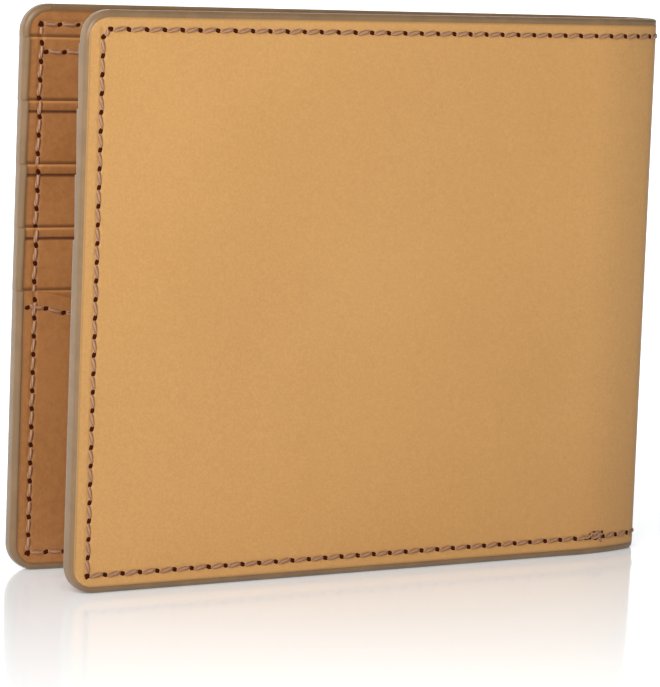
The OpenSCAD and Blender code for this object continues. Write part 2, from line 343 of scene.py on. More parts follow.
def add(tree, kind, inputs=None, **settings):
    """Adds a node; inputs takes values, or sockets to link from."""
    node = tree.nodes.new(kind)
    for key, value in settings.items():
        setattr(node, key, value)
    for key, value in (inputs or {}).items():
        if isinstance(value, bpy.types.NodeSocket):
            tree.links.new(value, node.inputs[key])
        else:
            node.inputs[key].default_value = value
    return node


def start_finish(name):
    """A material with its shader and output, and nothing else."""
    material = bpy.data.materials.new(name)
    material.use_nodes = True
    tree = material.node_tree
    tree.nodes.clear()
    shader = add(tree, "ShaderNodeBsdfPrincipled")
    add(tree, "ShaderNodeOutputMaterial", {"Surface": shader.outputs[0]})
    return material, tree, shader


def calf_leather(name, light, deep, gloss, outside=False, slots=False, creased=False):
    """Full-grain vegetable-tanned calf, ironed smooth and lightly waxed. The dye lies in very soft clouds
    over a fine mottle of about 1.2 mm. The hair pores are near 0.1 mm and drawn 0.4 mm wide so that they
    show. The skin dips beside the seam, and a hot creaser browns the line below a slot edge."""
    material, tree, shader = start_finish(name)
    spot = add(tree, "ShaderNodeTexCoord")
    where, uv = spot.outputs["Object"], add(tree, "ShaderNodeSeparateXYZ", {0: spot.outputs["UV"]})
    clouds = add(tree, "ShaderNodeTexNoise",
                 {"Vector": where, "Scale": 1 / (34 * MM), "Detail": 2.0}).outputs["Fac"]
    mottle = add(tree, "ShaderNodeTexNoise",
                 {"Vector": where, "Scale": 1 / (1.2 * MM), "Detail": 4.0, "Roughness": 0.65}).outputs["Fac"]
    pores = add(tree, "ShaderNodeTexNoise",
                {"Vector": where, "Scale": 1 / (0.4 * MM), "Detail": 3.0, "Roughness": 0.6}).outputs["Fac"]
    mixed = add(tree, "ShaderNodeMix", {"Factor": 0.4, "A": clouds, "B": mottle}).outputs[0]
    depth = add(tree, "ShaderNodeMapRange", {"Value": mixed, "From Min": 0.35, "From Max": 0.65},
                **SMOOTH).outputs[0]
    colour = add(tree, "ShaderNodeMix", {0: depth, 6: shade(light), 7: shade(deep)},
                 data_type="RGBA").outputs[2]
    speck = add(tree, "ShaderNodeMapRange",
                {"Value": pores, "From Min": 0.35, "From Max": 0.65, "To Min": 0.94, "To Max": 1.04}).outputs[0]
    colour = add(tree, "ShaderNodeMix", {0: 1.0, 6: colour, 7: speck}, data_type="RGBA",
                 blend_type="MULTIPLY").outputs[2]
    # distance to the nearest outer edge, in tenths of a metre like the map
    top = add(tree, "ShaderNodeMath", {0: HEIGHT * MAP, 1: uv.outputs[1]}, operation="SUBTRACT").outputs[0]
    edge = add(tree, "ShaderNodeMath", {0: uv.outputs[1], 1: top}, operation="MINIMUM").outputs[0]
    rim = add(tree, "ShaderNodeMath", {0: uv.outputs[0], 1: (PAINT - SIDE) * MAP if outside else 0.0},
              operation="ADD").outputs[0]
    rim = add(tree, "ShaderNodeMath", {0: rim, 1: edge}, operation="MINIMUM").outputs[0]
    edge = add(tree, "ShaderNodeMath", {0: uv.outputs[0], 1: edge}, operation="MINIMUM").outputs[0]
    # the leather turns darker within half a millimetre of the paint line
    rim_darkening = add(tree, "ShaderNodeMapRange",
               {"Value": rim, "From Min": (PAINT + 0.05 * MM) * MAP, "From Max": (PAINT + 0.5 * MM) * MAP,
                "To Min": 0.55, "To Max": 0.0},
               **SMOOTH).outputs[0]
    colour = add(tree, "ShaderNodeMix", {0: rim_darkening, 6: colour, 7: shade(deep, 0.45)}, data_type="RGBA").outputs[2]
    height = add(tree, "ShaderNodeBump", {"Strength": 0.35, "Distance": 0.02 * MM, "Height": pores}).outputs[0]
    height = add(tree, "ShaderNodeBump",
                 {"Strength": 0.35, "Distance": 0.05 * MM, "Height": mottle, "Normal": height}).outputs[0]
    away = add(tree, "ShaderNodeMath", {0: edge, 1: SEAM * MAP}, operation="SUBTRACT").outputs[0]
    away = add(tree, "ShaderNodeMath", {0: away}, operation="ABSOLUTE").outputs[0]
    pull = add(tree, "ShaderNodeTexNoise",
               {"Vector": where, "Scale": 1 / (1.6 * MM), "Detail": 1.0}).outputs["Fac"]
    reach = add(tree, "ShaderNodeMapRange",
                {"Value": pull, "From Min": 0.3, "From Max": 0.7, "To Min": 0.55 * MM * MAP,
                 "To Max": 1.0 * MM * MAP}).outputs[0]
    dip = add(tree, "ShaderNodeMapRange", {"Value": away, "From Min": 0.0, "From Max": reach},
              **SMOOTH).outputs[0]
    height = add(tree, "ShaderNodeBump",
                 {"Strength": 0.8, "Distance": 0.16 * MM, "Height": dip, "Normal": height}).outputs[0]
    # with slots, each slot edge gets painted light: a painted highlight below it and painted shade above the next
    # one
    if slots:
        down = add(tree, "ShaderNodeMath", {0: SLOT_1 * MAP, 1: uv.outputs[1]}, operation="SUBTRACT").outputs[0]
        down = add(tree, "ShaderNodeMath", {0: down, 1: PITCH * MAP}, operation="FLOORED_MODULO").outputs[0]
        # painted highlight: lighter just below each slot edge, fading out 0.5 mm down, where light catches the
        # proud edge
        wear_and_highlight = add(tree, "ShaderNodeMapRange",
                   {"Value": down, "From Min": 0.15 * MM * MAP, "From Max": 0.5 * MM * MAP, "To Min": 0.7,
                    "To Max": 0.0},
                   **SMOOTH).outputs[0]
        colour = add(tree, "ShaderNodeMix", {0: wear_and_highlight, 6: colour, 7: shade(light, 1.35)},
                     data_type="RGBA").outputs[2]
        # painted shade: darker on the pocket face in the last 0.75 mm above each slot edge, where that edge
        # stands proud
        slot_shadow = add(tree, "ShaderNodeMapRange",
                    {"Value": down, "From Min": (PITCH - 0.75 * MM) * MAP,
                     "From Max": (PITCH - 0.25 * MM) * MAP, "To Max": 0.75},
                    **SMOOTH).outputs[0]
        colour = add(tree, "ShaderNodeMix", {0: slot_shadow, 6: colour, 7: shade(deep, 0.35)},
                     data_type="RGBA").outputs[2]
    if creased:
        down = add(tree, "ShaderNodeMath", {0: down, 1: bpy.context.scene.wallet_sizes.crease_drop * MAP},
                   operation="SUBTRACT").outputs[0]
        down = add(tree, "ShaderNodeMath", {0: down}, operation="ABSOLUTE").outputs[0]
        line = add(tree, "ShaderNodeMapRange",
                   {"Value": down, "From Min": 0.1 * MM * MAP, "From Max": 0.38 * MM * MAP, "To Min": 0.9,
                    "To Max": 0.0},
                   **SMOOTH).outputs[0]
        brown = shade(bpy.context.scene.wallet_colours.crease)
        colour = add(tree, "ShaderNodeMix", {0: line, 6: colour, 7: brown}, data_type="RGBA").outputs[2]
    tree.links.new(colour, shader.inputs["Base Color"])
    satin = add(tree, "ShaderNodeMapRange",
                {"Value": mottle, "From Min": 0.3, "From Max": 0.7, "To Min": gloss - 0.05,
                 "To Max": gloss + 0.06}).outputs[0]
    tree.links.new(satin, shader.inputs["Roughness"])
    tree.links.new(height, shader.inputs["Normal"])
    shader.inputs["IOR"].default_value = 1.47
    shader.inputs["Sheen Weight"].default_value = 0.05
    shader.inputs["Sheen Roughness"].default_value = 0.4
    return material


def edge_paint():
    """Pigmented acrylic edge paint, brushed on in coats and sanded between them: satin, a little uneven
    over 4 mm, with a fine drag of 0.7 mm from the brush."""
    material, tree, shader = start_finish("Satin acrylic edge paint")
    where = add(tree, "ShaderNodeTexCoord").outputs["Object"]
    slow = add(tree, "ShaderNodeTexNoise",
               {"Vector": where, "Scale": 1 / (4 * MM), "Detail": 3.0}).outputs["Fac"]
    fine = add(tree, "ShaderNodeTexNoise",
               {"Vector": where, "Scale": 1 / (0.7 * MM), "Detail": 2.0}).outputs["Fac"]
    base = bpy.context.scene.wallet_colours.paint
    tone = add(tree, "ShaderNodeMapRange", {"Value": slow, "From Min": 0.35, "From Max": 0.65},
               **SMOOTH).outputs[0]
    tree.links.new(add(tree, "ShaderNodeMix", {0: tone, 6: shade(base, 1.06), 7: shade(base, 0.92)},
                       data_type="RGBA").outputs[2], shader.inputs["Base Color"])
    height = add(tree, "ShaderNodeBump", {"Strength": 0.5, "Distance": 0.12 * MM, "Height": slow}).outputs[0]
    tree.links.new(add(tree, "ShaderNodeBump", {"Strength": 0.4, "Distance": 0.03 * MM, "Height": fine,
                                                "Normal": height}).outputs[0], shader.inputs["Normal"])
    tree.links.new(add(tree, "ShaderNodeMapRange",
                       {"Value": fine, "From Min": 0.3, "From Max": 0.7, "To Min": 0.3,
                        "To Max": 0.42}).outputs[0], shader.inputs["Roughness"])
    shader.inputs["IOR"].default_value = 1.49
    return material


def waxed_thread():
    """Three-ply polyester thread, waxed. The map runs once along each stitch, so its plies turn about
    every 0.8 mm, with painted shade in the valley between them and a painted highlight on their crowns."""
    material, tree, shader = start_finish("Waxed polyester thread")
    spot = add(tree, "ShaderNodeTexCoord")
    turned = add(tree, "ShaderNodeMapping",
                 {"Vector": spot.outputs["UV"], "Rotation": (0, 0, math.radians(35))}).outputs[0]
    twist = add(tree, "ShaderNodeTexWave", {"Vector": turned, "Scale": 1.3, "Distortion": 0.8, "Detail": 1.0},
                wave_profile="SIN").outputs["Fac"]
    fuzz = add(tree, "ShaderNodeTexNoise",
               {"Vector": spot.outputs["Object"], "Scale": 1 / (0.5 * MM), "Detail": 2.0}).outputs["Fac"]
    base = bpy.context.scene.wallet_colours.thread
    # painted shade and highlight: darker in the valleys between the plies, lighter on their crowns
    ply = add(tree, "ShaderNodeMapRange", {"Value": twist, "From Min": 0.02, "From Max": 0.6},
              **SMOOTH).outputs[0]
    colour = add(tree, "ShaderNodeMix", {0: ply, 6: shade(base, 0.6), 7: shade(base, 1.12)},
                 data_type="RGBA").outputs[2]
    dirt = add(tree, "ShaderNodeMapRange",
               {"Value": fuzz, "From Min": 0.4, "From Max": 0.75, "To Max": 0.45}).outputs[0]
    tree.links.new(add(tree, "ShaderNodeMix", {0: dirt, 6: colour, 7: shade(base, 0.5)},
                       data_type="RGBA").outputs[2], shader.inputs["Base Color"])
    tree.links.new(add(tree, "ShaderNodeBump", {"Strength": 0.6, "Distance": 0.08 * MM,
                                                "Height": twist}).outputs[0], shader.inputs["Normal"])
    tree.links.new(add(tree, "ShaderNodeMapRange", {"Value": twist, "To Min": 0.62, "To Max": 0.45}).outputs[0],
                   shader.inputs["Roughness"])
    shader.inputs["IOR"].default_value = 1.5
    return material


def awl_slit_shade():
    """The painted shade of an awl slit: a flat dark lens for the hole's shadow, quite matt, with fibre noise."""
    material, tree, shader = start_finish("Painted shade of an awl slit")
    where = add(tree, "ShaderNodeTexCoord").outputs["Object"]
    fibre = add(tree, "ShaderNodeTexNoise",
                {"Vector": where, "Scale": 1 / (0.3 * MM), "Detail": 2.0}).outputs["Fac"]
    base = bpy.context.scene.wallet_colours.hole
    tree.links.new(add(tree, "ShaderNodeMix", {0: fibre, 6: shade(base, 0.7), 7: shade(base, 1.6)},
                       data_type="RGBA").outputs[2], shader.inputs["Base Color"])
    shader.inputs["Roughness"].default_value = 0.95
    shader.inputs["Specular IOR Level"].default_value = 0.1
    return material


def twill_lining():
    """Polyester twill, its diagonal ribs 0.4 mm apart, a little shiny where wear has rubbed it."""
    material, tree, shader = start_finish("Polyester twill lining")
    spot = add(tree, "ShaderNodeTexCoord")
    turned = add(tree, "ShaderNodeMapping",
                 {"Vector": spot.outputs["UV"], "Rotation": (0, 0, math.radians(32))}).outputs[0]
    # a wave repeats every 2 pi / 20 of a unit at scale 1, and a unit of this map is 100 mm
    rib = 0.4 * MM * MAP
    ribs = add(tree, "ShaderNodeTexWave",
               {"Vector": turned, "Scale": math.tau / 20 / rib, "Distortion": 0.3}).outputs["Fac"]
    wear = add(tree, "ShaderNodeTexNoise",
               {"Vector": spot.outputs["Object"], "Scale": 1 / (6 * MM), "Detail": 3.0}).outputs["Fac"]
    base = bpy.context.scene.wallet_colours.lining
    colour = add(tree, "ShaderNodeMix", {0: ribs, 6: shade(base, 0.7), 7: shade(base, 1.2)},
                 data_type="RGBA").outputs[2]
    wear_and_highlight = add(tree, "ShaderNodeMapRange",
               {"Value": wear, "From Min": 0.4, "From Max": 0.7, "To Max": 0.3}).outputs[0]
    tree.links.new(add(tree, "ShaderNodeMix", {0: wear_and_highlight, 6: colour, 7: shade(base, 1.5)},
                       data_type="RGBA").outputs[2], shader.inputs["Base Color"])
    tree.links.new(add(tree, "ShaderNodeBump", {"Strength": 0.5, "Distance": 0.05 * MM,
                                                "Height": ribs}).outputs[0], shader.inputs["Normal"])
    tree.links.new(add(tree, "ShaderNodeMapRange", {"Value": wear, "To Min": 0.75, "To Max": 0.6}).outputs[0],
                   shader.inputs["Roughness"])
    shader.inputs["Sheen Weight"].default_value = 0.2
    return material


def leather_board():
    """Bonded leather board: compressed fibres with flecks of about 1 mm."""
    material, tree, shader = start_finish("Bonded leather board")
    where = add(tree, "ShaderNodeTexCoord").outputs["Object"]
    flecks = add(tree, "ShaderNodeTexNoise",
                 {"Vector": where, "Scale": 1 / (1.1 * MM), "Detail": 4.0, "Roughness": 0.7}).outputs["Fac"]
    tone = add(tree, "ShaderNodeMapRange", {"Value": flecks, "From Min": 0.4, "From Max": 0.65},
               **SMOOTH).outputs[0]
    tree.links.new(add(tree, "ShaderNodeMix", {0: tone, 6: shade(rgb("9C8468")), 7: shade(rgb("7A6248"))},
                       data_type="RGBA").outputs[2], shader.inputs["Base Color"])
    tree.links.new(add(tree, "ShaderNodeBump", {"Strength": 0.5, "Distance": 0.05 * MM,
                                                "Height": flecks}).outputs[0], shader.inputs["Normal"])
    shader.inputs["Roughness"].default_value = 0.9
    return material


FINISHES = {}


def finish_of(key):
    """Each finish, made once."""
    colours = bpy.context.scene.wallet_colours
    makers = {
        "outer": lambda: calf_leather("Natural calf, outer skin", colours.outer, colours.outer_deep, 0.5,
                                      outside=True),
        "inner": lambda: calf_leather("Natural calf, pocket skin", colours.inner, colours.inner_deep, 0.56),
        "slotted": lambda: calf_leather("Natural calf, stitched pocket skin", colours.inner, colours.inner_deep,
                                        0.56, slots=True),
        "creased": lambda: calf_leather("Natural calf, creased pocket skin", colours.inner, colours.inner_deep,
                                        0.56, slots=True, creased=True),
        "paint": edge_paint,
        "thread": waxed_thread,
        "slit": awl_slit_shade,
        "lining": twill_lining,
        "board": leather_board,
    }
    if key not in FINISHES:
        FINISHES[key] = makers[key]()
    return FINISHES[key]


# ---------------------------------------------------------------- pieces
class WALLET_OT_covers(bpy.types.Operator):
    """Outer leather of both panels, meeting at the middle of the fold"""

    bl_idname = "wallet.covers"
    bl_label = "Outer leather"

    def execute(self, context):
        if abs(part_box("spine_cover")[0].x - START[0]) > 0.3 * MM:
            raise RuntimeError("the fold's radii no longer match the frame")
        for side in (FRONT, REAR):
            skin(f"{WORD[side]}_outer_leather", side, 0.0, COVER, "outer",
                 (f"{WORD[side]}_cover", "spine_cover"), context.scene.wallet_sizes.edge_round)
        return {"FINISHED"}


class WALLET_OT_compartment(bpy.types.Operator):
    """Lining cloth, divider and stiffener boards of the note compartment"""

    bl_idname = "wallet.compartment"
    bl_label = "Note compartment"

    def execute(self, context):
        for side in (FRONT, REAR):
            word = WORD[side]
            skin(f"{word}_lining_cloth", side, COVER, LINING, "lining",
                 (f"{word}_lining", "spine_lining"), 0.06 * MM)
            skin(f"{word}_divider_leather", side, DIVIDER_OUT, DIVIDER_IN, "inner",
                 (f"{word}_divider", "spine_divider"), 0.12 * MM)
            board = frame["nodes"][f"{word}_board"]
            board.data.materials.clear()
            board.data.materials.append(finish_of("board"))
        return {"FINISHED"}


class WALLET_OT_edges(bpy.types.Operator):
    """Painted edges: side, corners and bottom through the whole panel, and two lips along the open top"""

    bl_idname = "wallet.edges"
    bl_label = "Painted edges"

    def ring(self, v0, v1, rounding, top):
        """The painted border as a flat closed solid: either the open top's lip or all the rest."""
        past, turn = HALF_FOLD + 12 * MM, -PANEL + CORNER
        bm = outline([(-PANEL, 0), (past, 0), (past, HEIGHT), (-PANEL, HEIGHT)], v0)
        round_corners(bm, lambda co: co.x < 0, CORNER, 12)
        rim = set(border(bm, PAINT + GROOVE))
        bmesh.ops.delete(bm, geom=[f for f in bm.faces if f not in rim], context="FACES")
        thicken(bm, (0, v1 - v0, 0))
        soften(bm, rounding, 7, lambda co: inward(co)[0] < 0.06 * MM)
        # a shallow groove where the paint meets the leather
        for vert in bm.verts:
            if inward(vert.co)[0] > PAINT:
                vert.co.y = min(max(vert.co.y, v0 + GROOVE), v1 - GROOVE)
        cut(bm, 0, [turn, *stations(), *[turn + i * LONG_CUTS for i in range(1, int(-turn / LONG_CUTS))]])
        middles = {f: f.calc_center_median() for f in bm.faces}
        bmesh.ops.delete(bm, geom=[f for f, at in middles.items()
                                   if (at.x > turn and at.z > HEIGHT / 2) != top], context="FACES")
        cut(bm, 0, [HALF_FOLD], clear_outer=True)
        bmesh.ops.holes_fill(bm, edges=[e for e in bm.edges if e.is_boundary], sides=0)
        return bm

    def wander(self, bm, amount, seed):
        """Lets the painted line wander a little along the leather."""
        for vert in bm.verts:
            depth, direction = inward(vert.co)
            if depth > 0.9 * MM:
                spot = Vector((vert.co.x * WAVER + seed, vert.co.z * WAVER, 0.0))
                vert.co += direction * noise.noise(spot) * amount

    def execute(self, context):
        sizes = context.scene.wallet_sizes
        for side in (FRONT, REAR):
            word, pockets = WORD[side], POCKETS[side]
            bm = self.ring(0.0, THICK, sizes.paint_round, top=False)
            cut(bm, 2, [SLOT_1 - i * PITCH + d for i in range(0, pockets + 1) for d in (-0.1 * MM, 0.1 * MM)])
            cut(bm, 2, [CORNER + i * SIDE_CUTS for i in range(1, int((HEIGHT - 2 * CORNER) / SIDE_CUTS))])
            for vert in bm.verts:
                share = vert.co.y / THICK
                if vert.co.x > POCKET_END:
                    vert.co.y = share * DIVIDER_IN
                elif vert.co.z > CORNER:
                    vert.co.y = share * (pocket_face(vert.co.z, pockets) + 0.05 * MM)
            self.wander(bm, sizes.paint_wobble, 3.0 + side)
            bend_round(bm, side)
            finish(bm, f"{word}_painted_edge", ["paint"], side,
                   (f"{word}_edge_paint", "spine_bottom_paint"), True)
            for name, v0, v1, node in (("outer_lip", 0.0, LINING, "cover_top_paint"),
                                       ("inner_lip", DIVIDER_OUT - 0.05 * MM, BAND, "divider_top_paint")):
                bm = self.ring(v0, v1, 0.42 * (v1 - v0), top=True)
                if name == "inner_lip":
                    for vert in bm.verts:
                        if vert.co.x > POCKET_END:
                            share = (vert.co.y - v0) / (v1 - v0)
                            vert.co.y = DIVIDER_OUT + share * (DIVIDER_IN - DIVIDER_OUT)
                self.wander(bm, sizes.paint_wobble, 9.0 + side + v0 * 1000)
                bend_round(bm, side)
                finish(bm, f"{word}_{name}", ["paint"], side,
                       (f"{word}_{node}", f"spine_{node}"), True)
        return {"FINISHED"}


class WALLET_OT_pockets(bpy.types.Operator):
    """Card pockets, top bands and the large lower pockets"""

    bl_idname = "wallet.pockets"
    bl_label = "Card pockets"

    def execute(self, context):
        sizes = context.scene.wallet_sizes
        for side in (FRONT, REAR):
            for number in range(1, POCKETS[side] + 1):
                self.pocket(side, number, sizes)
            self.band(side)
            self.lower(side, sizes)
        return {"FINISHED"}

    def pocket(self, side, number, sizes):
        """One shingled pocket: slot edge, a creased line below it where it has no seam, and a hidden tail"""
        top, slope = SLOT_1 - (number - 1) * PITCH, STEP / PITCH
        profile = [(THICK - LEATHER, top), (THICK, top)]
        if number > 1:
            for down, sunk in ((-0.45 * MM, 0.0), (-0.2 * MM, 0.5), (0.0, 1.0), (0.12 * MM, 0.75),
                               (0.5 * MM, 0.0)):
                down += sizes.crease_drop
                profile.append((THICK - slope * down - sunk * sizes.crease_depth, top - down))
        end = PITCH + TAIL
        profile += [(THICK - slope * end, top - end), (DIVIDER_IN + CLEAR, top - end),
                    (DIVIDER_IN + CLEAR, top - (THICK - LEATHER - DIVIDER_IN) / slope)]
        bm = bmesh.new()
        free = -PANEL + PAINT
        bm.faces.new([bm.verts.new((free, v, z)) for v, z in profile])
        thicken(bm, (POCKET_END - free, 0, 0))
        soften(bm, sizes.slot_round, 4, lambda co: co.z > top - 0.01 * MM, 20)
        cut(bm, 0, [free + 0.6 * MM, POCKET_END - 0.6 * MM])
        bend_round(bm, side)
        finish(bm, f"{WORD[side]}_pocket_leather_{number}", ["creased" if number > 1 else "slotted"], side,
               (f"{WORD[side]}_card_pocket_{number}",), sharp=40)

    def band(self, side):
        """The band that covers the top of the panel and ends behind the first pocket"""
        free, top, low = -PANEL + PAINT, HEIGHT - PAINT, SLOT_1 - TAIL
        bm = outline([(free, low), (POCKET_END, low), (POCKET_END, top), (free, top)], DIVIDER_IN + CLEAR)
        round_corners(bm, lambda co: co.x < free + 0.1 * MM and co.z > SLOT_1, CORNER - PAINT)
        cut(bm, 2, [SLOT_1])
        thicken(bm, (0, BAND - DIVIDER_IN, 0))
        for vert in bm.verts:
            if vert.co.y > DIVIDER_IN + 0.1 * MM:
                behind = THICK - STEP * (1 + (SLOT_1 - vert.co.z) / PITCH)
                vert.co.y = pocket_face(vert.co.z, 0) if vert.co.z > SLOT_1 - 0.01 * MM else behind
        bend_round(bm, side)
        finish(bm, f"{WORD[side]}_band_leather", ["slotted"], side,
               (f"{WORD[side]}_top_band",), sharp=40)

    def lower(self, side, sizes):
        """The large pocket at the bottom, its edge slanted on the rear panel"""
        free, top = -PANEL + PAINT, SLOT_1 - POCKETS[side] * PITCH
        fall = math.tan(SLANT) * (POCKET_END - free - SLANT_LEVEL) if side == REAR else 0.0
        bm = outline([(free, PAINT), (POCKET_END, PAINT), (POCKET_END, top - fall), (free + SLANT_LEVEL, top),
                      (free, top)],
                     THICK - LEATHER)
        round_corners(bm, lambda co: co.x < free + 0.1 * MM and co.z < 0.5 * top, CORNER - PAINT)
        if side == REAR:
            round_corners(bm, lambda co: abs(co.x - free - SLANT_LEVEL) < 0.1 * MM and co.z > 0.5 * top,
                          2.5 * MM, 6)
        border(bm, 0.5 * MM)
        thicken(bm, (0, LEATHER, 0))
        soften(bm, sizes.slot_round, 4, lambda co: True)
        bend_round(bm, side)
        name = "slant_pocket" if side == REAR else "lower_pocket"
        finish(bm, f"{WORD[side]}_{name}_leather", ["inner"], side, (f"{WORD[side]}_{name}",),
               sharp=40)


# ---------------------------------------------------------------- stitching
class Seam:
    """A run of stitches gathered into one object: thread between awl slits."""

    def __init__(self, side, seed):
        self.bm, self.side, self.rng = bmesh.new(), side, Random(seed)
        self.bm.loops.layers.uv.verify()
        self.thread = self.shape(9, 0.5)
        # the slit is a flat dark lens on the leather: painted shade of the awl hole
        self.slit = self.shape(5, 1.0)

    def shape(self, rings, blunt):
        """A small capsule along X with its own map, to be copied"""
        verts = bmesh.ops.create_uvsphere(self.bm, u_segments=8, v_segments=rings, radius=1.0,
                                          calc_uvs=True)["verts"]
        for vert in verts:
            vert.co = Vector((math.copysign(abs(vert.co.z) ** blunt, vert.co.z), vert.co.y, vert.co.x))
        faces = {f for v in verts for f in v.link_faces}
        return verts + list({e for f in faces for e in f.edges}) + list(faces)

    def lay(self, shape, s, z, turn, size, depth, face, sink):
        """Copies a shape on to the leather. face is -1 for the outer face and 1 for the inner one."""
        side, near = self.side, 0.05 * MM
        here = place(s, depth, z, side)
        along = (place(s + near, depth, z, side) - place(s - near, depth, z, side)).normalized()
        out = (place(s, depth + near, z, side) - place(s, depth - near, z, side)).normalized() * face
        line = along * math.cos(turn) + Vector((0, 0, 1)) * math.sin(turn)
        matrix = Matrix((line * size[0], out.cross(line) * size[1], out * size[2])).transposed().to_4x4()
        made = bmesh.ops.duplicate(self.bm, geom=shape)["geom"]
        bmesh.ops.transform(self.bm, matrix=Matrix.Translation(here - out * sink) @ matrix,
                            verts=[g for g in made if isinstance(g, bmesh.types.BMVert)])
        for g in made:
            if isinstance(g, bmesh.types.BMFace):
                g.material_index = 1 if shape is self.slit else 0

    def sew(self, path, stitch, face, depth_at, sizes, slant=9):
        """Lays stitches along a path of (s, z) corners"""
        lengths = [math.dist(a, b) for a, b in zip(path, path[1:])]
        total = sum(lengths)
        count = max(1, round(total / stitch))

        def at(distance):
            for (a, b), length in zip(zip(path, path[1:]), lengths):
                if distance <= length or b is path[-1]:
                    t = distance / length
                    run, rise = b[0] - a[0], b[1] - a[1]
                    return a[0] + run * t, a[1] + rise * t, math.atan2(rise, run)
                distance -= length

        step, half = total / count, sizes.thread / 2
        for i in range(count + 1):
            s, z, heading = at(min(total, i * step))
            lean = math.radians(face * 2.3 * slant + self.rng.uniform(-4, 4))
            self.lay(self.slit, s, z, heading + lean,
                     (sizes.hole / 2 * self.rng.uniform(0.85, 1.1), half * 0.9, 0.07 * MM),
                     depth_at(z), face, -0.01 * MM)
            if i < count:
                s, z, heading = at((i + 0.5) * step)
                lean = math.radians(-face * slant + self.rng.uniform(-2, 2))
                self.lay(self.thread, s, z, heading + lean,
                         (step / 2 - sizes.hole * 0.24, half * self.rng.uniform(0.88, 1.0), half * 0.8),
                         depth_at(z), face, 0.08 * MM)

    def close(self, name, replaces, crosses):
        """Drops the two shapes and makes the seam's object with its finishes"""
        bmesh.ops.delete(self.bm, geom=[g for g in self.thread + self.slit
                                        if isinstance(g, bmesh.types.BMVert)], context="VERTS")
        bmesh.ops.recalc_face_normals(self.bm, faces=self.bm.faces)
        return finish(self.bm, name, ["thread", "slit"], self.side, replaces, crosses, sharp=80)


class WALLET_OT_seams(bpy.types.Operator):
    """Stitching: round the outside, round the pockets, below the first slot and along the slanted edge"""

    bl_idname = "wallet.seams"
    bl_label = "Seams"

    def execute(self, context):
        sizes = context.scene.wallet_sizes
        long, short, tiny, turn = sizes.long_stitch, sizes.side_stitch, 1.7 * MM, 1.2 * MM
        free, low, high, end, band = -PANEL + SEAM, SEAM, HEIGHT - SEAM, POCKET_END - 1 * MM, HEIGHT - BAND_SEAM
        flat = lambda z: 0.0
        for side in (FRONT, REAR):
            word = WORD[side]
            seam = Seam(side, 11 + side)
            seam.sew([(HALF_FOLD, low), (free, low)], long, -1, flat, sizes)
            seam.sew([(free, low), (free, high - turn)], short, -1, flat, sizes)
            seam.sew([(free, high - turn), (free + turn, high)], tiny, -1, flat, sizes)
            seam.sew([(free + turn, high), (HALF_FOLD, high)], long, -1, flat, sizes)
            seam.close(f"{word}_outer_stitches",
                       (f"{word}_outer_thread", "spine_top_thread", "spine_bottom_thread"), True)
            inside = lambda z, pockets=POCKETS[side]: pocket_face(z, pockets)
            seam = Seam(side, 21 + side)
            seam.sew([(end, low), (free, low)], long, 1, inside, sizes)
            seam.sew([(free, low), (free, band)], short, 1, inside, sizes)
            seam.sew([(free, band), (end, band)], long, 1, inside, sizes)
            seam.close(f"{word}_inner_stitches", (f"{word}_inner_thread",), False)
            seam = Seam(side, 31 + side)
            seam.sew([(free + 0.8 * MM, SLOT_1 - SLOT_SEAM), (end, SLOT_1 - SLOT_SEAM)], long, 1, inside, sizes)
            seam.close(f"{word}_slot_stitches", (f"{word}_slot_thread",), False)
        top = SLOT_1 - POCKETS[REAR] * PITCH - SLANT_SEAM
        bend = -PANEL + PAINT + SLANT_LEVEL
        seam = Seam(REAR, 41)
        seam.sew([(free - 1.2 * MM, top), (bend, top), (end, top - math.tan(SLANT) * (end - bend))], long, 1,
                 lambda z: THICK, sizes)
        seam.close("rear_slant_stitches", ("rear_slant_thread",), False)
        self.knot()
        return {"FINISHED"}

    def knot(self):
        """Back stitches and a loose end where the bottom seam was closed"""
        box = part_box("spine_thread_knot")
        s = math.asin(((box[0].x + box[1].x) / 2 - BEND[0]) / BEND_RADIUS)
        s, z = (s - LEAN) * BEND_RADIUS, SEAM
        seam = Seam(FRONT, 5)
        stitches = ((-2.6, 0.1, -15, 0.9), (-1.5, 0.25, 25, 0.8), (-0.7, 0.55, -30, 0.75), (0.0, 0.7, 15, 0.7),
                    (0.5, 0.35, 60, 0.65), (0.9, 0.5, -25, 0.6), (0.2, 0.1, 5, 0.8), (0.9, -0.5, -55, 0.55))
        for shift, lift, turn, length in stitches:
            seam.lay(seam.thread, s + shift * MM, z + lift * MM, math.radians(turn),
                     (length * MM, 0.3 * MM, 0.3 * MM), 0.0, -1, 0.02 * MM)
        # these slits are flat dark lenses of painted shade as well
        for shift, lift, turn in ((-1.9, 0.0, 10), (-1.0, 0.6, 20), (0.3, 0.0, 30), (1.1, 0.2, 70)):
            seam.lay(seam.slit, s + shift * MM, z + lift * MM, math.radians(turn),
                     (0.9 * MM, 0.36 * MM, 0.05 * MM), 0.0, -1, -0.04 * MM)
        seam.close("knot_stitches", ("spine_thread_knot",), True)


